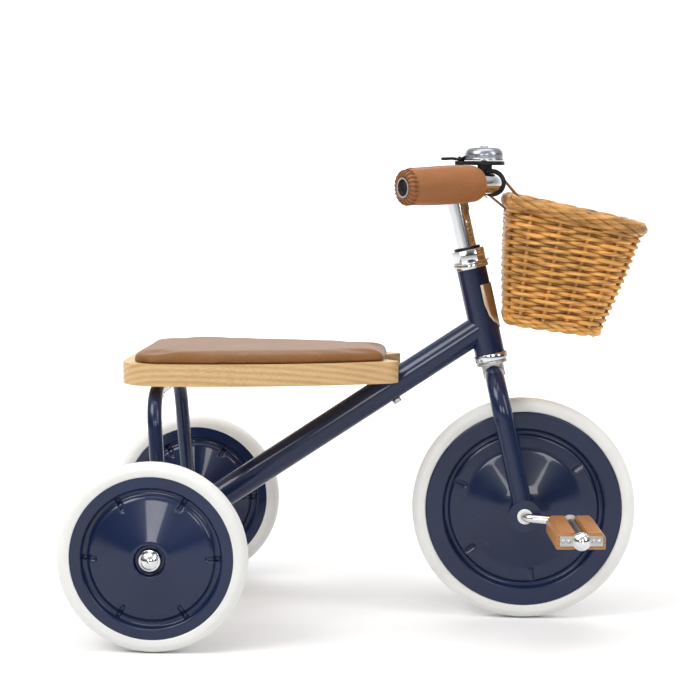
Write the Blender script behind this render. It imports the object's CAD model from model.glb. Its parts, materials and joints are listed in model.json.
import json
import math
import random

import bmesh
import bpy
from mathutils import Matrix, Vector

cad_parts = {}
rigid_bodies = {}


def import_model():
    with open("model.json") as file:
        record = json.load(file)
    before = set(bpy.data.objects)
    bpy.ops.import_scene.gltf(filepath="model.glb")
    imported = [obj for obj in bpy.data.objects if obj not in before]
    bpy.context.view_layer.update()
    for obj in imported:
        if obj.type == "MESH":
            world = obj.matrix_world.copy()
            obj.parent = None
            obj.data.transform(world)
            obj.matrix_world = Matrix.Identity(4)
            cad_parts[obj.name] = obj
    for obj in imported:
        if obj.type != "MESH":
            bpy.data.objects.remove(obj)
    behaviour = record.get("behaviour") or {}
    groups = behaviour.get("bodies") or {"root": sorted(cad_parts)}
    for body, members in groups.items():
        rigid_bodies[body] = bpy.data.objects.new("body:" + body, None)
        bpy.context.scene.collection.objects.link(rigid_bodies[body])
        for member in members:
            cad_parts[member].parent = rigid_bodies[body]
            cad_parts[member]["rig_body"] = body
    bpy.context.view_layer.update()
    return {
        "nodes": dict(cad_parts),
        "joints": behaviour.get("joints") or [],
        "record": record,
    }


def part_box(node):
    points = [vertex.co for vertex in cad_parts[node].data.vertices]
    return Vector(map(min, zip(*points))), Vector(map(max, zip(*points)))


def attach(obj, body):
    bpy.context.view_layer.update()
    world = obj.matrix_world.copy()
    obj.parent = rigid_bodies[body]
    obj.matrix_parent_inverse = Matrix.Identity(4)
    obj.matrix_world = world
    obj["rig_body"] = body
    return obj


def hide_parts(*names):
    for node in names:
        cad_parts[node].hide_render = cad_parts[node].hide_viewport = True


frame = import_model()
cadNodes = frame["nodes"]
joints = {joint["name"]: joint for joint in frame["joints"]}
print("frame loaded:", len(cadNodes), "nodes")


class Signal:
    # wraps one node output, so shader sums can be written as Python sums

    def __init__(self, finish, socket):
        self.finish = finish
        self.socket = socket

    def math(self, operation, first, second):
        return self.finish.node("ShaderNodeMath", {"operation": operation}, {0: first, 1: second})

    def __add__(self, other):
        return self.math("ADD", self, other)

    def __radd__(self, other):
        return self.math("ADD", other, self)

    def __sub__(self, other):
        return self.math("SUBTRACT", self, other)

    def __rsub__(self, other):
        return self.math("SUBTRACT", other, self)

    def __mul__(self, other):
        return self.math("MULTIPLY", self, other)

    def __rmul__(self, other):
        return self.math("MULTIPLY", other, self)


class Finish:
    def __init__(self, name, color, roughness, metallic=0.0):
        self.material = bpy.data.materials.new(name)
        self.material.use_nodes = True
        self.tree = self.material.node_tree
        self.shader = self.tree.nodes["Principled BSDF"]
        self.put("Base Color", (*color, 1))
        self.put("Roughness", roughness)
        self.put("Metallic", metallic)

    def put(self, name, value):
        if isinstance(value, Signal):
            self.tree.links.new(value.socket, self.shader.inputs[name])
        else:
            self.shader.inputs[name].default_value = value

    def node(self, kind, settings=None, sockets=None, output=0):
        # settings, such as an operation or a ramp's stops, come before the sockets
        made = self.tree.nodes.new(kind)
        for key, value in (settings or {}).items():
            if key == "stops":
                while len(made.color_ramp.elements) < len(value):
                    made.color_ramp.elements.new(0.5)
                for element, (place, color) in zip(made.color_ramp.elements, value):
                    element.position = place
                    element.color = (*color, 1)
            else:
                setattr(made, key, value)
        for key, value in (sockets or {}).items():
            if isinstance(value, Signal):
                self.tree.links.new(value.socket, made.inputs[key])
            else:
                made.inputs[key].default_value = value
        return Signal(self, made.outputs[output])

    def place(self, stretch=(1, 1, 1), turn=(0, 0, 0)):
        coords = self.node("ShaderNodeTexCoord", output="Object")
        return self.node("ShaderNodeMapping", {}, {"Vector": coords, "Scale": stretch, "Rotation": turn})

    def noise(self, place, scale, detail=3.0, roughness=0.5, distortion=0.0):
        return self.node("ShaderNodeTexNoise", {}, {
            "Vector": place, "Scale": scale, "Detail": detail,
            "Roughness": roughness, "Distortion": distortion})

    def cells(self, place, scale):
        return self.node("ShaderNodeTexVoronoi", {}, {"Vector": place, "Scale": scale}, "Distance")

    def ramp(self, fac, stops):
        return self.node("ShaderNodeValToRGB", {"stops": stops}, {"Fac": fac})

    def blend(self, fac, first, second, mode="MIX"):
        return self.node("ShaderNodeMix", {"data_type": "RGBA", "blend_type": mode},
                         {0: fac, 6: first, 7: second}, 2)

    def relief(self, height, strength, distance, below=None):
        sockets = {"Height": height, "Strength": strength, "Distance": distance}
        if below is not None:
            sockets["Normal"] = below
        return self.node("ShaderNodeBump", {}, sockets)


def shade(color, factor):
    return tuple(min(1.0, channel * factor) for channel in color)


def paintFinish(name, color):
    # glossy enamel over a faint cloud of tone
    finish = Finish(name, color, 0.26)
    place = finish.place()
    cloud = finish.noise(place, 9, 2)
    finish.put("Base Color", finish.ramp(cloud, [(0.3, shade(color, 0.88)), (0.7, shade(color, 1.12))]))
    finish.put("Roughness", finish.noise(place, 40, 3) * 0.10 + 0.20)
    finish.put("Coat Weight", 0.4)
    finish.put("Coat Roughness", 0.05)
    finish.put("Specular IOR Level", 0.22)
    finish.put("Normal", finish.relief(finish.noise(place, 350, 2), 0.05, 0.0004))
    return finish.material


def rubberFinish(name, color):
    finish = Finish(name, color, 0.6)
    place = finish.place()
    stain = finish.noise(place, 14, 4, 0.6)
    finish.put("Base Color", finish.ramp(stain, [
        (0.25, shade(color, 0.93)), (0.6, color), (0.9, shade(color, 1.05))]))
    finish.put("Roughness", finish.noise(place, 60, 3) * 0.15 + 0.48)
    finish.put("Normal", finish.relief(finish.noise(place, 900, 2), 0.12, 0.0003))
    finish.put("Specular IOR Level", 0.4)
    return finish.material


def woodFinish(name, light, dark, grainScale, roughness):
    finish = Finish(name, light, roughness)
    along = finish.place((1.0, 11.0, 16.0))  # the grain runs front to back
    growth = finish.noise(along, grainScale, 3, 0.55, 0.6)
    rings = finish.node("ShaderNodeTexWave", {"wave_type": "BANDS", "bands_direction": "Z"}, {
        "Vector": finish.place((0.5, 5.0, 7.0), (0.55, 0.03, 0.0)), "Scale": grainScale * 1.1,
        "Distortion": 2.6, "Detail": 2.0, "Detail Scale": 0.7})
    pores = finish.noise(finish.place((6.0, 240.0, 300.0)), 9, 2, 0.7)
    tone = growth * 0.55 + rings * 0.45
    base = finish.ramp(tone, [(0.25, dark), (0.48, shade(light, 0.9)), (0.75, light)])
    streak = finish.ramp(pores, [(0.42, (0.62, 0.52, 0.42)), (0.56, (1, 1, 1))])
    finish.put("Base Color", finish.blend(0.55, base, streak, "MULTIPLY"))
    finish.put("Roughness", pores * 0.18 + (roughness - 0.08))
    finish.put("Normal", finish.relief(pores, 0.18, 0.0004, finish.relief(growth, 0.08, 0.0006)))
    finish.put("Coat Weight", 0.1)
    finish.put("Coat Roughness", 0.3)
    finish.put("Specular IOR Level", 0.35)
    return finish.material


def leatherFinish(name, color, grainScale, roughness):
    finish = Finish(name, color, roughness)
    place = finish.place()
    warped = finish.node("ShaderNodeVectorMath", {"operation": "MULTIPLY_ADD"}, {
        0: finish.node("ShaderNodeTexNoise", {}, {"Vector": place, "Scale": grainScale * 0.4}, "Color"),
        1: (0.0016, 0.0016, 0.0016), 2: place})
    pebble = finish.cells(warped, grainScale)  # the fine grain between creases
    patches = finish.noise(place, 16, 4, 0.6)
    tone = finish.ramp(patches, [(0.3, shade(color, 0.86)), (0.55, color), (0.8, shade(color, 1.14))])
    crease = finish.ramp(pebble, [(0.25, (0, 0, 0)), (0.8, (1, 1, 1))])
    finish.put("Base Color", finish.blend(crease * 0.35, tone, (*tints["leatherCrease"], 1)))
    finish.put("Roughness", pebble * 0.22 + (roughness - 0.1))
    wrinkle = finish.relief(finish.noise(place, 55, 4, 0.6), 0.10, 0.0012)
    finish.put("Normal", finish.relief(1 - pebble, 0.35, 0.00035, wrinkle))
    finish.put("Specular IOR Level", 0.3)
    return finish.material


def wickerFinish(name, color):
    finish = Finish(name, color, 0.4)
    place = finish.place()
    rods = finish.noise(finish.place((5.0, 5.0, 60.0)), 5.5, 2, 0.6)
    tone = finish.ramp(rods, [
        (0.36, shade(color, 0.55)), (0.46, shade(color, 0.84)),
        (0.54, color), (0.65, shade(color, 1.32))])
    knots = finish.ramp(finish.noise(place, 95, 4, 0.65), [
        (0.30, (0.52, 0.36, 0.22)), (0.45, (1, 1, 1))])
    fibre = finish.noise(finish.place((70.0, 70.0, 900.0)), 6, 2, 0.6)
    finish.put("Base Color", finish.blend(0.75, tone, knots, "MULTIPLY"))
    finish.put("Roughness", fibre * 0.2 + 0.28)
    finish.put("Normal", finish.relief(fibre, 0.25, 0.0004))
    finish.put("Coat Weight", 0.12)
    finish.put("Coat Roughness", 0.25)
    finish.put("Specular IOR Level", 0.3)
    return finish.material


def chromeFinish(name, color, roughness, brushed):
    finish = Finish(name, color, roughness, 1.0)
    haze = finish.noise(finish.place(), 70, 3)
    scuff = finish.noise(finish.place((1, 1, 60) if brushed else (30, 30, 30)), 25, 3, 0.7)
    finish.put("Roughness", haze * 0.05 + scuff * (0.2 if brushed else 0.04) + (roughness - 0.05))
    finish.put("Normal", finish.relief(scuff, 0.12 if brushed else 0.02, 0.0002))
    return finish.material


def plasticFinish(name, color, roughness):
    finish = Finish(name, color, roughness)
    finish.put("Roughness", finish.noise(finish.place(), 120, 3) * 0.15 + (roughness - 0.07))
    finish.put("Normal", finish.relief(finish.noise(finish.place(), 1100, 2), 0.15, 0.0002))
    finish.put("Specular IOR Level", 0.25)
    return finish.material


def cottonThreadFinish(name, color):
    finish = Finish(name, color, 0.75)
    finish.put("Base Color", finish.ramp(finish.noise(finish.place(), 900, 2), [
        (0.3, shade(color, 0.7)), (0.7, shade(color, 1.2))]))
    finish.put("Normal", finish.relief(finish.noise(finish.place(), 1500, 2), 0.4, 0.0002))
    return finish.material


tints = {
    "navy": (0.0070, 0.0150, 0.0520),
    "tyre": (0.775, 0.775, 0.750),
    "ashLight": (0.72, 0.485, 0.235),
    "ashDark": (0.58, 0.355, 0.155),
    "pedalLight": (0.50, 0.235, 0.085),
    "pedalDark": (0.40, 0.175, 0.062),
    "seatLeather": (0.228, 0.093, 0.017),
    "gripLeather": (0.365, 0.135, 0.037),
    "strapLeather": (0.42, 0.23, 0.115),
    "leatherCrease": (0.085, 0.032, 0.012),
    "cane": (0.67, 0.335, 0.085),
    "chrome": (0.66, 0.67, 0.68),
    "zinc": (0.47, 0.465, 0.45),
    "nylon": (0.78, 0.78, 0.76),
    "black": (0.007, 0.007, 0.008),
    "champagne": (0.50, 0.40, 0.29),
    "thread": (0.15, 0.050, 0.016),
    "bell": (0.34, 0.355, 0.38),
    "rimCane": (0.50, 0.245, 0.063),
}
finishes = {
    "navy_paint": paintFinish("navyPaint", tints["navy"]),
    "wheel_paint": paintFinish("wheelPaint", tints["navy"]),
    "white_rubber": rubberFinish("whiteRubber", tints["tyre"]),
    "ash_wood": woodFinish("ashWood", tints["ashLight"], tints["ashDark"], 7.0, 0.42),
    "pedal_wood": woodFinish("pedalWood", tints["pedalLight"], tints["pedalDark"], 10.0, 0.45),
    "seat_leather": leatherFinish("seatLeather", tints["seatLeather"], 900, 0.42),
    "grip_leather": leatherFinish("gripLeather", tints["gripLeather"], 1100, 0.46),
    "strap_leather": leatherFinish("strapLeather", tints["strapLeather"], 1200, 0.5),
    "wicker": wickerFinish("wicker", tints["cane"]),
    "chrome": chromeFinish("chrome", tints["chrome"], 0.10, False),
    "zinc_steel": chromeFinish("zincSteel", tints["zinc"], 0.28, True),
    "white_nylon": plasticFinish("whiteNylon", tints["nylon"], 0.5),
    "black_plastic": plasticFinish("blackPlastic", tints["black"], 0.36),
    "champagne_metal": chromeFinish("champagneMetal", tints["champagne"], 0.34, True),
}
threadFinish = cottonThreadFinish("waxedThread", tints["thread"])
rimFinish = wickerFinish("rimCane", tints["rimCane"])
bellFinish = chromeFinish("bellSteel", tints["bell"], 0.2, True)
slotOf = {row["node"]: row["material_slot"] for row in frame["record"]["subparts"]}
for nodeName, cadNode in cadNodes.items():
    cadNode.data.materials.clear()
    cadNode.data.materials.append(finishes[slotOf[nodeName]])
print("finishes made:", len(finishes) + 3)


def finishPiece(name, mesh, body, slot, material=None, smoothAngle=35):
    data = bpy.data.meshes.new(name)
    mesh.to_mesh(data)
    mesh.free()
    return dressPiece(name, data, body, slot, material, smoothAngle)


def dressPiece(name, data, body, slot, material=None, smoothAngle=35):
    data.materials.clear()
    data.materials.append(material or finishes[slot])
    data.polygons.foreach_set("use_smooth", [True] * len(data.polygons))
    data.set_sharp_from_angle(angle=math.radians(smoothAngle))
    piece = bpy.data.objects.new(name, data)
    bpy.context.scene.collection.objects.link(piece)
    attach(piece, body)
    return piece


def bodyOf(nodeName):
    return cadNodes[nodeName]["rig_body"]


def middleOf(nodeName):
    low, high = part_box(nodeName)
    return (low + high) / 2


def softened(nodeName, width, segments=2, sharpAngle=35, name=None):
    # a copy of a CAD node with its sharp edges rounded
    mesh = bmesh.new()
    mesh.from_mesh(cadNodes[nodeName].data)
    bmesh.ops.remove_doubles(mesh, verts=mesh.verts, dist=1e-6)
    bmesh.ops.dissolve_limit(mesh, angle_limit=math.radians(0.5), verts=mesh.verts, edges=mesh.edges)
    sharp = [edge for edge in mesh.edges
             if len(edge.link_faces) == 2 and edge.calc_face_angle(0) > math.radians(sharpAngle)]
    bmesh.ops.bevel(mesh, geom=sharp, offset=width, offset_type="OFFSET", segments=segments, profile=0.5,
                    affect="EDGES", clamp_overlap=True, material=-1)
    piece = finishPiece(name or nodeName.replace("_", " ").title().replace(" ", ""), mesh,
                        bodyOf(nodeName), slotOf[nodeName])
    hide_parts(nodeName)
    return piece


def roundedPath(points, cornerSteps=5):
    # turns (x, y, radius) corners into a polyline with rounded bends
    path = []
    for index, (x, y, radius) in enumerate(points):
        if radius == 0 or index in (0, len(points) - 1):
            path.append((x, y))
            continue
        here = Vector((x, y))
        before = Vector(points[index - 1][:2]) - here
        after = Vector(points[index + 1][:2]) - here
        cut = min(radius, before.length * 0.49, after.length * 0.49)
        start = here + before.normalized() * cut
        end = here + after.normalized() * cut
        for step in range(cornerSteps + 1):
            t = step / cornerSteps
            spot = start * (1 - t) ** 2 + here * 2 * t * (1 - t) + end * t ** 2
            path.append((spot.x, spot.y))
    return path


def spun(points, centre, axis, steps, closed=False):
    # points are (radius, height) pairs; height runs along the axis from the centre
    mesh = bmesh.new()
    axis = Vector(axis).normalized()
    radial = axis.orthogonal().normalized()
    verts = [mesh.verts.new(centre + radial * radius + axis * height) for radius, height in points]
    pairs = list(zip(verts, verts[1:])) + ([(verts[-1], verts[0])] if closed else [])
    edges = [mesh.edges.new(pair) for pair in pairs]
    bmesh.ops.spin(mesh, geom=verts + edges, cent=centre, axis=axis, angle=math.tau,
                   steps=steps, use_merge=True, use_duplicate=False)
    bmesh.ops.remove_doubles(mesh, verts=mesh.verts, dist=2e-6)
    bmesh.ops.recalc_face_normals(mesh, faces=mesh.faces)
    return mesh


def finer(points, longest, fromRadius):
    # splits long stretches of a profile where detail is pressed into it
    fine = [points[0]]
    for start, end in zip(points, points[1:]):
        gap = math.dist(start, end)
        parts = max(1, math.ceil(gap / longest)) if min(start[0], end[0]) > fromRadius else 1
        for step in range(1, parts + 1):
            fine.append((start[0] + (end[0] - start[0]) * step / parts,
                         start[1] + (end[1] - start[1]) * step / parts))
    return fine


def rodMesh(name, paths, radius, closed=False, sides=2):
    # round rods along the given paths, as one mesh
    curve = bpy.data.curves.new(name, "CURVE")
    curve.dimensions = "3D"
    curve.bevel_depth = radius
    curve.bevel_resolution = sides
    curve.use_fill_caps = True
    for path in paths:
        spline = curve.splines.new("POLY")
        spline.points.add(len(path) - 1)
        for index, spot in enumerate(path):
            spline.points[index].co = (*spot, 1)
        spline.use_cyclic_u = closed
    holder = bpy.data.objects.new(name, curve)
    data = bpy.data.meshes.new_from_object(holder)
    bpy.data.objects.remove(holder)
    bpy.data.curves.remove(curve)
    return data


def roundCorners(corners, radius, steps=8):
    # a polyline in space whose inner corners are rounded
    path = [Vector(corners[0])]
    for before, here, after in zip(corners, corners[1:], corners[2:]):
        here = Vector(here)
        start = here + (Vector(before) - here).normalized() * radius
        end = here + (Vector(after) - here).normalized() * radius
        path += [start * (1 - t) ** 2 + here * 2 * t * (1 - t) + end * t ** 2
                 for t in [step / steps for step in range(steps + 1)]]
    return path + [Vector(corners[-1])]


def smoothStep(t):
    # eases from 0 to 1
    t = max(0.0, min(1.0, t))
    return t * t * (3 - 2 * t)


# camera, light and floor
view = {"spot": (0.0989, -2.215, 0.530), "yaw": 2.91, "down": 5.77, "roll": 0.24, "lens": 100.6}
camera = bpy.data.objects.new("camera", bpy.data.cameras.new("camera"))
camera.data.lens = view["lens"]
camera.data.sensor_width = 36
camera.matrix_world = (Matrix.Translation(view["spot"])
                       @ Matrix.Rotation(math.radians(view["yaw"]), 4, "Z")
                       @ Matrix.Rotation(math.radians(90 - view["down"]), 4, "X")
                       @ Matrix.Rotation(math.radians(view["roll"]), 4, "Z"))
bpy.context.scene.collection.objects.link(camera)
bpy.context.scene.camera = camera
bpy.context.scene.view_settings.view_transform = "Standard"

studio = {
    "skyStrength": 0.85,
    "skyStops": [(0.0, (0.03, 0.03, 0.035)), (0.14, (0.10, 0.10, 0.11)), (0.45, (0.70, 0.70, 0.70)),
                 (1.0, (1.0, 1.0, 1.0))],
    "softboxes": [  # place, aim, width, height, watts
        ((-1.5, -1.3, 1.9), (0, 0, 0.25), 1.4, 1.0, 33),
        ((0.2, -0.4, 2.7), (0, 0, 0.25), 2.6, 1.6, 25),
        ((2.1, -1.2, 1.4), (0, 0, 0.25), 0.7, 1.6, 16),
        ((0.0, 1.6, 2.9), (0, 4.4, 0.9), 4.0, 1.2, 150),
    ],
    "glossCards": [  # seen only in polished surfaces: place, aim, width, height, watts
        ((0.78, -2.22, 0.85), (0.185, 0, 0.17), 0.50, 0.50, 7),
        ((-0.41, -2.25, 0.75), (0.185, 0, 0.17), 0.50, 0.50, 7),
    ],
    "sweepDepth": 3.2, "sweepBend": 1.2, "sweepHigh": 3.4, "sweepHalf": 20.0, "sweepFront": 20.0,
    "bendSteps": 9,
}


def buildStudio():
    # sky, lamps and a pale floor that sweeps up behind the object
    world = bpy.data.worlds.new("studioLight")
    bpy.context.scene.world = world
    world.use_nodes = True
    tree = world.node_tree
    coords = tree.nodes.new("ShaderNodeTexCoord")
    split = tree.nodes.new("ShaderNodeSeparateXYZ")
    ramp = tree.nodes.new("ShaderNodeValToRGB")
    while len(ramp.color_ramp.elements) < len(studio["skyStops"]):
        ramp.color_ramp.elements.new(0.5)
    for element, (height, color) in zip(ramp.color_ramp.elements, studio["skyStops"]):
        element.position = height
        element.color = (*color, 1)
    tree.links.new(coords.outputs["Generated"], split.inputs[0])
    tree.links.new(split.outputs["Z"], ramp.inputs["Fac"])
    tree.links.new(ramp.outputs["Color"], tree.nodes["Background"].inputs["Color"])
    tree.nodes["Background"].inputs["Strength"].default_value = studio["skyStrength"]
    lamps = studio["softboxes"] + studio["glossCards"]
    for index, (spot, target, width, height, watts) in enumerate(lamps):
        lamp = bpy.data.lights.new(f"softbox{index}", "AREA")
        lamp.shape = "RECTANGLE"
        lamp.size, lamp.size_y, lamp.energy = width, height, watts
        holder = bpy.data.objects.new(f"softbox{index}", lamp)
        holder.location = spot
        holder.rotation_euler = (Vector(target) - Vector(spot)).to_track_quat("-Z", "Y").to_euler()
        holder.visible_camera = False
        holder.visible_diffuse = index < len(studio["softboxes"])
        bpy.context.scene.collection.objects.link(holder)
    bend = studio["sweepBend"]
    profile = [(-studio["sweepFront"], 0), (studio["sweepDepth"], 0)]
    for step in range(1, studio["bendSteps"] + 1):
        angle = math.radians(90) * step / studio["bendSteps"]
        profile.append((studio["sweepDepth"] + bend * math.sin(angle), bend * (1 - math.cos(angle))))
    profile.append((studio["sweepDepth"] + bend, studio["sweepHigh"]))
    mesh = bmesh.new()
    verts = [mesh.verts.new((-studio["sweepHalf"], y, z)) for y, z in profile]
    edges = [mesh.edges.new(pair) for pair in zip(verts, verts[1:])]
    swept = bmesh.ops.extrude_edge_only(mesh, edges=edges)["geom"]
    moved = [item for item in swept if isinstance(item, bmesh.types.BMVert)]
    bmesh.ops.translate(mesh, verts=moved, vec=(2 * studio["sweepHalf"], 0, 0))
    data = bpy.data.meshes.new("floor")
    mesh.to_mesh(data)
    mesh.free()
    data.polygons.foreach_set("use_smooth", [True] * len(data.polygons))
    paper = Finish("paleFloor", (0.86, 0.86, 0.86), 0.9)
    paper.put("Roughness", paper.noise(paper.place(), 3, 2) * 0.1 + 0.85)
    data.materials.append(paper.material)
    floor = bpy.data.objects.new("floor", data)
    bpy.context.scene.collection.objects.link(floor)


buildStudio()
print("studio ready")


wheelForm = {
    "tyreDepth": 0.0156, "sheet": 0.0012, "steps": 288, "tyreSteps": 144,
    "dimples": 6, "dimpleHalfWidth": 0.0032, "dimpleDepth": 0.0028, "dimpleEase": 1.7,
    "frontDimples": (0.0685, 0.0850), "rearDimples": (0.0570, 0.0745), "frontPhase": 38,
    # each pressed disc from the tyre to the hub, as radius, height and the rounding of the corner
    "rearFace": [
        (0.0888, 0.0086, 0), (0.0880, 0.0100, 0.0008), (0.0757, 0.0100, 0.0016),
        (0.0735, 0.0046, 0.0018), (0.0690, 0.0044, 0.0022), (0.0650, 0.0082, 0.0020),
        (0.0260, 0.0192, 0.0060), (0.0200, 0.0208, 0.0030), (0.0168, 0.0208, 0.0012),
        (0.0160, 0.0160, 0.0012), (0.0060, 0.0152, 0)],
    "rearBackHub": [(0.0200, 0.0178, 0.0060), (0.0150, 0.0190, 0.0020), (0.0062, 0.0190, 0)],
    "frontFace": [
        (0.1115, 0.0100, 0), (0.1106, 0.0115, 0.0008), (0.0922, 0.0115, 0.0016),
        (0.0898, 0.0052, 0.0018), (0.0858, 0.0048, 0.0016), (0.0835, 0.0078, 0.0018),
        (0.0675, 0.0082, 0.0030), (0.0260, 0.0215, 0.0080), (0.0180, 0.0232, 0.0030),
        (0.0105, 0.0234, 0.0010), (0.0092, 0.0234, 0)],
}


def tyrePiece(name, nodeName):
    # a round tread between two flat sides
    low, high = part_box(nodeName)
    centre = (low + high) / 2
    outer = (high.x - low.x) / 2
    half = (high.y - low.y) / 2
    inner = outer - wheelForm["tyreDepth"]
    rightHalf = roundedPath([
        (inner, 0, 0), (inner, -half * 0.80, 0.0008), (inner + 0.0012, -half * 0.93, 0.001),
        (outer - 0.0075, -half, 0.004), (outer - 0.0030, -half * 0.78, 0.003),
        (outer - 0.0008, -half * 0.45, 0.002), (outer, 0, 0)], 4)
    leftHalf = [(radius, -height) for radius, height in reversed(rightHalf[1:-1])]
    mesh = spun(rightHalf + leftHalf, centre, (0, 1, 0), wheelForm["tyreSteps"], closed=True)
    piece = finishPiece(name, mesh, bodyOf(nodeName), "white_rubber", smoothAngle=60)
    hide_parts(nodeName)


def discPiece(name, nodeName, tyreNode, side, face, phase, dimples):
    # a pressed sheet disc; the mesh is finer where the dimples are pressed into it
    centre = middleOf(tyreNode)
    dimpleStart, dimpleEnd = dimples
    front = finer(finer(roundedPath(face, 4), 0.004, 0.022), 0.0014, dimpleStart - 0.006)
    behind = [(radius, height - wheelForm["sheet"]) for radius, height in reversed(roundedPath(face, 3))]
    mesh = spun(front + behind, centre, (0, side, 0), wheelForm["steps"], closed=True)
    reach = wheelForm["dimpleHalfWidth"]
    pitch = math.tau / wheelForm["dimples"]
    for vert in mesh.verts:
        local = vert.co - centre
        radius = math.hypot(local.x, local.z)
        if not dimpleStart - reach < radius < dimpleEnd + reach:
            continue
        angle = math.atan2(local.z, local.x) - math.radians(phase)
        across = radius * (angle - pitch * round(angle / pitch))
        past = max(dimpleStart + reach - radius, radius - dimpleEnd + reach, 0)
        press = smoothStep((1 - math.hypot(across, past) / reach) * wheelForm["dimpleEase"])
        vert.co.y -= side * wheelForm["dimpleDepth"] * press
    piece = finishPiece(name, mesh, bodyOf(nodeName), "wheel_paint", smoothAngle=50)
    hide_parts(nodeName)


def buildWheels():
    form = wheelForm
    rearBack = form["rearFace"][:6] + form["rearBackHub"]
    tyrePiece("frontTyre", "front_tyre")
    for sideName, side in (("right", -1), ("left", 1)):
        discPiece(f"frontDisc{sideName.title()}", f"front_disc_{sideName}", "front_tyre", side,
                  form["frontFace"], form["frontPhase"], form["frontDimples"])
    for sideName, side in (("right", -1), ("left", 1)):
        tyreNode = f"rear_{sideName}_tyre"
        tyrePiece(f"rear{sideName.title()}Tyre", tyreNode)
        for faceName, face, facing in (("outer", form["rearFace"], side), ("inner", rearBack, -side)):
            discPiece(f"rear{sideName.title()}{faceName.title()}Disc", f"rear_{sideName}_{faceName}_disc",
                      tyreNode, facing, face, 0, form["rearDimples"])


buildWheels()
print("wheels built")


seatForm = {
    "edge": 0.0055, "edgeSegments": 6,
    # the pad before it swells: its height, its insets at the back and front, its width and its edge
    "padStart": 0.0114, "padBack": 0.0050, "padFront": 0.0080, "padWide": 1.02, "padRound": 0.0040,
    "voxel": 0.004, "pressure": 4.0, "stiffness": 12, "frames": 20, "padCap": 0.0021,
    "lift": 0.0002, "glued": 0.0012, "rounds": 3, "restHeight": 0.003,
}


def outlineOf(nodeName):
    # the outline of a flat-topped node, sorted round its middle
    low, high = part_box(nodeName)
    middle = (low + high) / 2
    corners = {(round(v.co.x, 6), round(v.co.y, 6)) for v in cadNodes[nodeName].data.vertices
               if v.co.z > high.z - 1e-5}
    return sorted(corners, key=lambda c: math.atan2(c[1] - middle.y, c[0] - middle.x)), low, high


def plateMesh(outline, low, high):
    mesh = bmesh.new()
    mesh.faces.new([mesh.verts.new((x, y, low)) for x, y in outline])
    raised = bmesh.ops.extrude_face_region(mesh, geom=list(mesh.faces))["geom"]
    bmesh.ops.translate(mesh, verts=[g for g in raised if isinstance(g, bmesh.types.BMVert)],
                        vec=(0, 0, high - low))
    bmesh.ops.recalc_face_normals(mesh, faces=mesh.faces)
    return mesh


def buildBoard():
    outline, low, high = outlineOf("seat_board")
    mesh = plateMesh(outline, low.z, high.z)
    rims = [edge for edge in mesh.edges if abs(edge.verts[0].co.z - edge.verts[1].co.z) < 1e-6]
    bmesh.ops.bevel(mesh, geom=rims, offset=seatForm["edge"], offset_type="OFFSET",
                    segments=seatForm["edgeSegments"], profile=0.5, affect="EDGES",
                    clamp_overlap=True, material=-1)
    piece = finishPiece("seatBoard", mesh, "frame", "ash_wood", smoothAngle=40)
    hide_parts("seat_board")


def simulatePad(piece, floorHeight):
    # swells the pad as if stuffed, with its underside glued down and no point moving past the cap
    scene = bpy.context.scene
    bottom = piece.vertex_groups.new(name="glued")
    bottom.add([v.index for v in piece.data.vertices if v.co.z < floorHeight + seatForm["glued"]],
               1.0, "REPLACE")
    before = [v.co.copy() for v in piece.data.vertices]
    cloth = piece.modifiers.new("stuffing", "CLOTH")
    cloth.settings.use_pressure = True
    cloth.settings.uniform_pressure_force = seatForm["pressure"]
    cloth.settings.effector_weights.gravity = 0
    cloth.settings.vertex_group_mass = "glued"
    cloth.settings.tension_stiffness = seatForm["stiffness"]
    cloth.settings.compression_stiffness = seatForm["stiffness"]
    for step in range(1, seatForm["frames"] + 1):
        scene.frame_set(step)
    settled = bpy.data.meshes.new_from_object(
        piece.evaluated_get(bpy.context.evaluated_depsgraph_get()))
    piece.modifiers.clear()
    for vert, start, after in zip(piece.data.vertices, before, settled.vertices):
        push = after.co - start
        if push.length > seatForm["padCap"]:
            push *= seatForm["padCap"] / push.length
        vert.co = start + push
        vert.co.z = max(vert.co.z, floorHeight)
    bpy.data.meshes.remove(settled)
    scene.frame_set(1)


def applyModifiers(piece):
    data = bpy.data.meshes.new_from_object(
        piece.evaluated_get(bpy.context.evaluated_depsgraph_get()))
    piece.modifiers.clear()
    old = piece.data
    piece.data = data
    bpy.data.meshes.remove(old)


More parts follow.
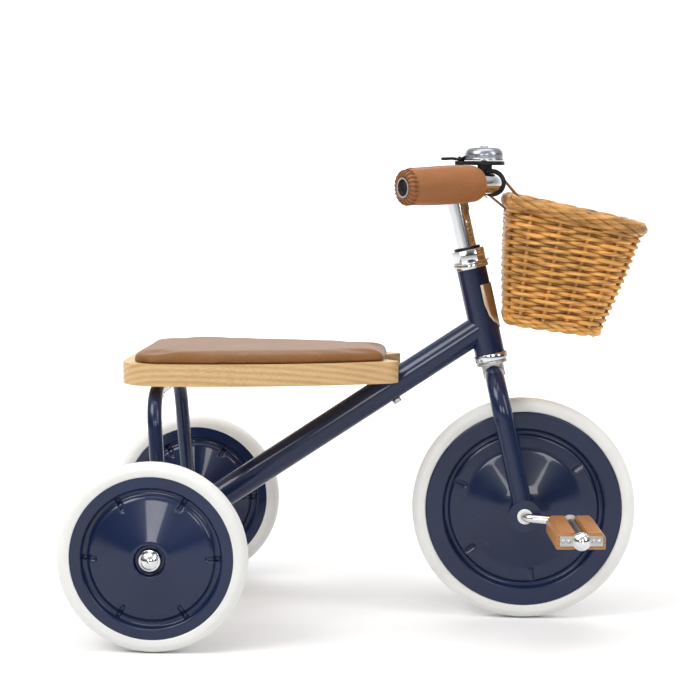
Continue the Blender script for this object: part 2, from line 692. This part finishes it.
def buildCushion():
    outline, low, high = outlineOf("seat_cushion")
    top = low.z + seatForm["padStart"]
    start, end = low.x + seatForm["padBack"], high.x - seatForm["padFront"]
    outline = [(start + (x - low.x) / (high.x - low.x) * (end - start), y * seatForm["padWide"])
               for x, y in outline]
    mesh = plateMesh(outline, low.z + seatForm["lift"], top)
    rims = [edge for edge in mesh.edges if min(v.co.z for v in edge.verts) > top - 1e-6]
    bmesh.ops.bevel(mesh, geom=rims, offset=seatForm["padRound"], offset_type="OFFSET", segments=4,
                    profile=0.5, affect="EDGES", clamp_overlap=True, material=-1)
    piece = finishPiece("seatCushion", mesh, "frame", "seat_leather")
    remesh = piece.modifiers.new("evenMesh", "REMESH")
    remesh.mode = "VOXEL"
    remesh.voxel_size = seatForm["voxel"]
    bpy.context.view_layer.update()
    applyModifiers(piece)
    simulatePad(piece, low.z + seatForm["lift"])
    mesh = bmesh.new()
    mesh.from_mesh(piece.data)
    for _ in range(seatForm["rounds"]):
        soft = [v for v in mesh.verts if v.co.z > low.z + seatForm["restHeight"]]
        bmesh.ops.smooth_vert(mesh, verts=soft, factor=0.4, use_axis_x=True, use_axis_y=True,
                              use_axis_z=True)
    mesh.to_mesh(piece.data)
    mesh.free()
    rounding = piece.modifiers.new("rounding", "SUBSURF")
    rounding.levels = 1
    rounding.render_levels = 1
    applyModifiers(piece)
    piece.data.polygons.foreach_set("use_smooth", [True] * len(piece.data.polygons))
    if not piece.data.materials:
        piece.data.materials.append(finishes["seat_leather"])
    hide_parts("seat_cushion")


buildBoard()
buildCushion()
print("seat built")


basketForm = {
    "footBack": (0.1644, 0.3475), "footFront": (0.2615, 0.3345), "footHalf": 0.0730, "footCorner": 0.024,
    "rimHalf": 0.0940, "rimCorner": 0.0365, "belly": 0.0016,
    "stakes": 18, "stakeRadius": 0.0025, "rows": 28, "rodRadius": 0.00235, "sway": 0.0034,
    "stepsPerStake": 10, "rowWander": 0.00045,
    "ropeStrands": 5, "ropeTurns": 5, "ropeRadius": 0.0052, "ropeRod": 0.0036, "ropeSteps": 300,
    "footStrands": 3, "footTurns": 9, "footRadius": 0.0031, "footRod": 0.0031,
    "firstRow": 0.045, "lastRow": 0.930, "swayEase": 0.75, "stakeSteps": 12,
    "floorSticks": 5, "floorRods": 22, "floorInset": 0.002, "floorSway": 0.0026,
}


def rimEnds():
    # the rim tube's centre line, back and front, in the side plane
    straight = basketForm["rimHalf"] - basketForm["rimCorner"] - 0.001
    vertices = [v.co for v in cadNodes["basket_rim"].data.vertices if abs(v.co.y) < straight]
    middle = middleOf("basket_rim").x
    ends = []
    for group in ([v for v in vertices if v.x < middle], [v for v in vertices if v.x > middle]):
        ends.append(Vector(((min(v.x for v in group) + max(v.x for v in group)) / 2,
                            (min(v.z for v in group) + max(v.z for v in group)) / 2)))
    return ends


rimLine = rimEnds()


def loopSpot(back, front, half, corner, along):
    # a spot and its outward direction on a rounded rectangle, from the middle of its back
    run = front - back
    straight, flank = half - corner, run.length - 2 * corner
    turn = ("turn", corner * math.pi / 2)
    sides = [("straight", straight), turn, ("straight", flank), turn, ("straight", 2 * straight), turn,
             ("straight", flank), turn, ("straight", straight)]
    rest = (along % 1.0) * sum(size for _, size in sides)
    spot = Vector((0.0, 0.0))
    heading = -math.pi / 2
    for kind, size in sides:
        part = min(rest, size)
        if kind == "turn":
            turned = part / corner
            hub = spot + Vector((-math.sin(heading), math.cos(heading))) * corner
            heading += turned
            spot = hub + Vector((math.sin(heading), -math.cos(heading))) * corner
        else:
            spot = spot + Vector((math.cos(heading), math.sin(heading))) * part
        rest -= part
        if rest <= 0:
            break
    flat = run.normalized()
    outward = Vector((math.sin(heading), -math.cos(heading)))
    place = Vector((back.x + flat.x * spot.x, spot.y, back.y + flat.y * spot.x))
    return place, Vector((flat.x * outward.x, outward.y, flat.y * outward.x)).normalized()


def wallSpot(height, along):
    # a spot on the basket's wall: height is 0 at the foot and 1 at the rim, along goes once round
    form = basketForm
    rimBack, rimFront = rimLine
    back = Vector(form["footBack"]).lerp(rimBack, height)
    front = Vector(form["footFront"]).lerp(rimFront, height)
    half = form["footHalf"] + (form["rimHalf"] - form["footHalf"]) * height
    corner = form["footCorner"] + (form["rimCorner"] - form["footCorner"]) * height
    place, outward = loopSpot(back, front, half, corner, along)
    return place + outward * form["belly"] * math.sin(math.pi * height), outward


def ropePaths(height, strands, turns, radius, steps):
    # strands that twist round the basket's outline at one height
    paths = []
    for strand in range(strands):
        path = []
        for step in range(steps):
            along = step / steps
            place, outward = wallSpot(height, along)
            ahead = wallSpot(height, along + 0.5 / steps)[0]
            forward = (ahead - place).normalized()
            upward = forward.cross(outward).normalized()
            angle = math.tau * (turns * along + strand / strands)
            path.append(place + (outward * math.cos(angle) + upward * math.sin(angle)) * radius)
        paths.append(path)
    return paths


def wickerPiece(name, paths, radius, closed=False, material=None):
    data = rodMesh(name, paths, radius, closed=closed)
    return dressPiece(name, data, "basket", "wicker", material, 70)


def buildBasket():
    # rows that pass in front of and behind the stakes by turns, each row the other way round
    form = basketForm
    dice = random.Random(7)
    points = form["stakes"] * form["stepsPerStake"]
    rows = []
    for row in range(form["rows"]):
        height = form["firstRow"] + (form["lastRow"] - form["firstRow"]) * row / (form["rows"] - 1)
        swap = 1 if row % 2 else -1
        drift = [dice.uniform(-1, 1) * form["rowWander"] for _ in range(form["stakes"])]
        path = []
        for step in range(points):
            along = step / points
            place, outward = wallSpot(height, along)
            slot = along * form["stakes"]
            swing = math.cos(math.pi * slot)
            swing = swap * math.copysign(abs(swing) ** form["swayEase"], swing)
            first = int(slot) % form["stakes"]
            blend = smoothStep(slot - int(slot))
            lift = drift[first] * (1 - blend) + drift[(first + 1) % form["stakes"]] * blend
            path.append(place + outward * swing * form["sway"] + Vector((0, 0, lift)))
        rows.append(path)
    wickerPiece("basketWeave", rows, form["rodRadius"], closed=True)
    stakes = [[wallSpot(step / form["stakeSteps"], index / form["stakes"])[0]
               for step in range(form["stakeSteps"] + 1)] for index in range(form["stakes"])]
    wickerPiece("basketStakes", stakes, form["stakeRadius"])
    border = ropePaths(0.0, form["footStrands"], form["footTurns"], form["footRadius"], form["ropeSteps"])
    foot = wickerPiece("basketFootBorder", border, form["footRod"], closed=True)
    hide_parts("basket_body")
    rope = ropePaths(1.0, form["ropeStrands"], form["ropeTurns"], form["ropeRadius"], form["ropeSteps"])
    rim = wickerPiece("basketRimRope", rope, form["ropeRod"], closed=True, material=rimFinish)
    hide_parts("basket_rim")
    buildBasketFloor()


def buildBasketFloor():
    # sticks from back to front, with rods woven across them
    form = basketForm
    back, front = Vector(form["footBack"]), Vector(form["footFront"])
    half = form["footHalf"] - form["floorInset"]
    corner = form["footCorner"]
    sticks = []
    for index in range(form["floorSticks"]):
        y = half * (2 * (index + 1) / (form["floorSticks"] + 1) - 1)
        sticks.append([Vector((spot.x, y, spot.y)) for spot in
                       [back.lerp(front, step / 6) for step in range(7)]])
    rods = []
    for index in range(form["floorRods"]):
        part = (index + 0.5) / form["floorRods"]
        spot = back.lerp(front, part)
        edge = min(part, 1 - part) * (front - back).length
        reach = half - corner + math.sqrt(max(0, corner ** 2 - max(0, corner - edge) ** 2))
        sway = form["floorSway"] * (1 if index % 2 else -1)
        waves = math.pi * (form["floorSticks"] + 1) / 2
        rods.append([Vector((spot.x, reach * t, spot.y + sway * math.cos(waves * (reach * t / half + 1))))
                     for t in [step / 20 - 1 for step in range(41)]])
    wickerPiece("basketFloor", sticks + rods, form["rodRadius"])


buildBasket()
print("basket woven")


barForm = {
    "gripBulge": 0.0007, "gripSteps": 96, "gripHem": 0.0055, "stitches": 22, "stitchRadius": 0.0005,
    "pleatDepth": 0.00042, "creaseDepth": 0.00021, "stitchLean": 0.09,
    "plugDish": 0.0032, "plugRadius": 0.0112,
    "domeFlat": 0.0152, "domeSteps": 96, "domeSheet": 0.0012, "leverRadius": 0.0017,
    "strapSwell": 0.0004,
    "seamInset": 0.0020, "seamStitch": 0.0030, "seamGap": 0.0016, "seamRadius": 0.00028,
}


def longAxis(nodeName):
    # the direction a long node runs in, from the spread of its vertices
    vertices = [v.co for v in cadNodes[nodeName].data.vertices]
    middle = middleOf(nodeName)
    spread = Matrix([[sum((v[i] - middle[i]) * (v[j] - middle[j]) for v in vertices)
                      for j in range(3)] for i in range(3)])
    axis = Vector((0.3, 0.9, 0.1))
    for _ in range(40):
        axis = (spread @ axis).normalized()
    return axis


def buildGrip(side, sideName):
    # a leather sleeve gathered at its outer hem, its stitches, and the plug in the bar's end
    nodeName = f"grip_{sideName}"
    axis = longAxis(nodeName)
    axis *= math.copysign(1, axis.y * side)
    centre = middleOf(nodeName)
    heights = [(v.co - centre).dot(axis) for v in cadNodes[nodeName].data.vertices]
    offsets = [((v.co - centre) - axis * (v.co - centre).dot(axis)).length
               for v in cadNodes[nodeName].data.vertices]
    half, outer, bore = max(heights), max(offsets), min(offsets)
    bulge, hem = barForm["gripBulge"], barForm["gripHem"]
    profile = [
        (bore, -half, 0), (outer - 0.0060, -half, 0.0015), (outer - 0.0030, -half + 0.0020, 0.003),
        (outer - 0.0002, -half + 0.0070, 0.004), (outer + bulge, -half + 0.024, 0.012),
        (outer + bulge * 1.3, 0, 0.02), (outer + bulge * 0.6, half - 0.024, 0.010),
        (outer - 0.0007, half - hem - 0.0032, 0.002), (outer - 0.0019, half - hem - 0.0010, 0.0010),
        (outer - 0.0009, half - hem + 0.0012, 0.0012), (outer - 0.0014, half - 0.0026, 0.0018),
        (outer - 0.0042, half - 0.0002, 0.0018), (outer - 0.0068, half + 0.0004, 0.0010),
        (bore + 0.0006, half - 0.0012, 0)]
    fine = finer(roundedPath(profile, 4), 0.003, 0.010)
    mesh = spun(fine, centre, axis, barForm["gripSteps"])
    across = axis.orthogonal().normalized()
    other = axis.cross(across)
    for vert in mesh.verts:
        local = vert.co - centre
        height = local.dot(axis)
        radial = local - axis * height
        angle = math.atan2(radial.dot(other), radial.dot(across))
        near = smoothStep((height - half + 0.016) / 0.008)
        pleat = barForm["pleatDepth"] * math.cos(angle * barForm["stitches"]) * near
        far = smoothStep((half - height) / 0.02)
        crease = barForm["creaseDepth"] * math.sin(angle * 7 + height * 90) * far
        if radial.length > bore + 0.004:
            vert.co += radial.normalized() * (pleat + crease)
    piece = finishPiece(f"{sideName}Grip", mesh, bodyOf(nodeName), "grip_leather", smoothAngle=70)
    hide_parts(nodeName)
    stitches = []
    for index in range(barForm["stitches"]):
        angle = math.tau * (index + 0.5) / barForm["stitches"]
        out = across * math.cos(angle) + other * math.sin(angle)
        leaned = angle + barForm["stitchLean"]
        lean = across * math.cos(leaned) + other * math.sin(leaned)
        stitches.append([centre + out * radius + axis * (half + lift) + (lean - out) * radius * part
                         for radius, lift, part in [
                             (outer - 0.0022, -hem - 0.0035, 0), (outer - 0.0006, -hem - 0.0022, 0.2),
                             (outer - 0.0003, -hem + 0.0012, 0.6), (outer - 0.0013, -0.0022, 1.0),
                             (outer - 0.0042, 0.0003, 1.2), (outer - 0.0068, 0.0006, 1.3)]])
    data = rodMesh(f"{sideName}GripStitches", stitches, barForm["stitchRadius"], sides=1)
    dressPiece(f"{sideName}GripStitches", data, bodyOf(nodeName), "grip_leather", threadFinish, 70)
    dish = barForm["plugDish"]
    wide = barForm["plugRadius"]
    plug = [(wide, half - 0.0030, 0), (wide - 0.0006, half - 0.0004, 0.0008),
            (wide - 0.0024, half - 0.0004, 0.0008), (wide - 0.0034, half - dish, 0.0012),
            (0, half - dish - 0.0006, 0)]
    mesh = spun(roundedPath(plug, 4), centre, axis, 64)
    plugPiece = finishPiece(f"{sideName}GripPlug", mesh, bodyOf(nodeName), "black_plastic", smoothAngle=50)
    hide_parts("bar_end_plugs")


def buildBell():
    # a thin dome with a rolled rim, open below
    low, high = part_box("bell_dome")
    centre = (low + high) / 2
    radius, height = (high.x - low.x) / 2, high.z - low.z
    bottom = low.z - centre.z
    sheet = barForm["domeSheet"]
    profile = [
        (radius - sheet, bottom, 0), (radius, bottom, 0.0004), (radius - 0.0002, bottom + 0.0022, 0.0008),
        (radius - 0.0009, bottom + 0.0028, 0.0005), (radius - 0.0003, bottom + height * 0.52, 0.003),
        (radius - 0.0026, bottom + height * 0.84, 0.003),
        (barForm["domeFlat"], bottom + height * 0.975, 0.004),
        (0.0065, bottom + height, 0.003), (0.0, bottom + height, 0)]
    outside = roundedPath(profile, 5)
    inside = [(r - sheet if r > 0.002 else 0, z - sheet if z > bottom + 0.001 else z)
              for r, z in reversed(outside)]
    mesh = spun(outside + inside, centre, (0, 0, 1), barForm["domeSteps"])
    piece = finishPiece("bellDome", mesh, bodyOf("bell_dome"), "chrome", bellFinish, 40)
    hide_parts("bell_dome")


def buildLever():
    low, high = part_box("bell_lever")
    pivot = Vector(joints["bell_lever_press"]["pos_m"])
    pivot.z = (low.z + high.z) / 2
    knob = Vector((low.x + 0.0042, pivot.y, pivot.z + 0.0004))
    arm = [knob, knob.lerp(pivot, 0.5) + Vector((0, 0, 0.0006)), pivot]
    prongs = [[pivot, pivot + Vector((0.0030, -0.0012, 0.0007)), pivot + Vector((0.0072, -0.0020, 0.0030))],
              [pivot, pivot + Vector((0.0030, 0.0012, -0.0002)), pivot + Vector((0.0052, 0.0018, -0.0012))]]
    data = rodMesh("bellLever", [arm] + prongs, barForm["leverRadius"])
    piece = dressPiece("bellLever", data, "bell_thumb_lever", "black_plastic", smoothAngle=70)
    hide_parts("bell_lever")
    mesh = spun(roundedPath([(0, -0.0018, 0), (0.0028, -0.0018, 0.0012), (0.0038, 0.0, 0.0010),
                             (0.0028, 0.0018, 0.0012), (0, 0.0018, 0)], 4), knob, (0, 0, 1), 32)
    finishPiece("bellLeverKnob", mesh, "bell_thumb_lever", "black_plastic", smoothAngle=60)
    mesh = spun(roundedPath([(0.0019, -0.0014, 0), (0.0040, -0.0014, 0.0004), (0.0040, 0.0012, 0.0006),
                             (0.0018, 0.0016, 0)], 3), pivot, (0, 0, 1), 32)
    finishPiece("bellLeverEye", mesh, "bell_thumb_lever", "black_plastic", smoothAngle=60)


def buildStraps():
    # leather loops round the bar and the rim, with a row of stitches along each edge
    piece = softened("basket_straps", 0.0005, 2, 30, "basketStraps")
    for vert in piece.data.vertices:
        vert.co += vert.normal * barForm["strapSwell"]
    bar = Vector(joints["basket_swing"]["pos_m"])
    rim = Vector((rimLine[0].x, 0, rimLine[0].y))
    along = (rim - bar).normalized()
    upward = Vector((0, 1, 0)).cross(along).normalized()
    length = (rim - bar).length
    spots = [v.co - bar for v in cadNodes["basket_straps"].data.vertices]
    inner = min(abs(spot.y) for spot in spots) + barForm["seamInset"]
    outer = max(abs(spot.y) for spot in spots) - barForm["seamInset"]
    steps = int(length / (barForm["seamStitch"] + barForm["seamGap"]))
    stitches = []
    for side in (1, -1):
        atBar = max(spot.dot(upward) * side for spot in spots if abs(spot.dot(along)) < 0.004)
        atRim = max(spot.dot(upward) * side for spot in spots if abs(spot.dot(along) - length) < 0.004)
        for y in (-outer, -inner, inner, outer):
            for step in range(steps):
                start = (step + 0.15) / steps
                end = start + barForm["seamStitch"] / length
                stitches.append([
                    bar + along * length * part + Vector((0, y, 0))
                    + upward * side * (atBar + (atRim - atBar) * part) for part in (start, end)])
    data = rodMesh("strapStitches", stitches, barForm["seamRadius"], sides=1)
    dressPiece("strapStitches", data, "basket", "strap_leather", threadFinish, 70)
    softened("strap_buckles", 0.0005, 2, 30, "strapBuckles")


for sideName, side in (("right", -1), ("left", 1)):
    buildGrip(side, sideName)
buildBell()
buildLever()
buildStraps()
print("bar, bell and straps built")


crankForm = {"rod": 0.0050, "elbow": 0.066, "reach": 0.0978, "bend": 0.011}
edgeWidths = {  # how far each node's sharp edges are rounded
    "pedal_right_blocks": 0.0011, "pedal_left_blocks": 0.0011,
    "pedal_right_cage": 0.0004, "pedal_left_cage": 0.0004,
    "pedal_cap_nuts": 0.0004, "pedal_axle_bushes": 0.0008, "axle_end_bushes": 0.0006,
    "rear_axle_washers": 0.0004, "rear_cap_nuts": 0.0004,
    "lower_headset_cup": 0.0006, "upper_headset_cup": 0.0006, "crown_race": 0.0005,
    "lock_washer": 0.0003, "headset_locknut": 0.0006, "headset_seal": 0.0004,
    "head_badge": 0.0004, "seat_barrel_nut": 0.0006, "seat_front_bolt": 0.0006,
    "seat_hoop_screws": 0.0003, "bell_base": 0.0006, "bell_dome_nut": 0.0004,
    "stem_expander_bolt": 0.0004,
}


def buildCrank():
    # one bent bar, from the tip of the right spindle through the hub to the left
    hub = Vector(joints["front_wheel_spin"]["pos_m"])
    corners = []
    for sideName, side in (("right", -1), ("left", 1)):
        foot = Vector(joints[f"pedal_{sideName}_spin"]["pos_m"])
        tip = foot + Vector(joints[f"pedal_{sideName}_spin"]["axis"]) * crankForm["reach"]
        elbow = hub + Vector((0, side * crankForm["elbow"], 0))
        corners += [tip, foot, elbow] if side < 0 else [elbow, foot, tip]
    path = roundCorners(corners, crankForm["bend"], 10)
    data = rodMesh("crank", [path], crankForm["rod"], sides=10)
    piece = dressPiece("crank", data, bodyOf("crank"), "chrome", smoothAngle=60)
    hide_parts("crank")


buildCrank()
for nodeName, width in edgeWidths.items():
    softened(nodeName, width)
print("hardware softened")
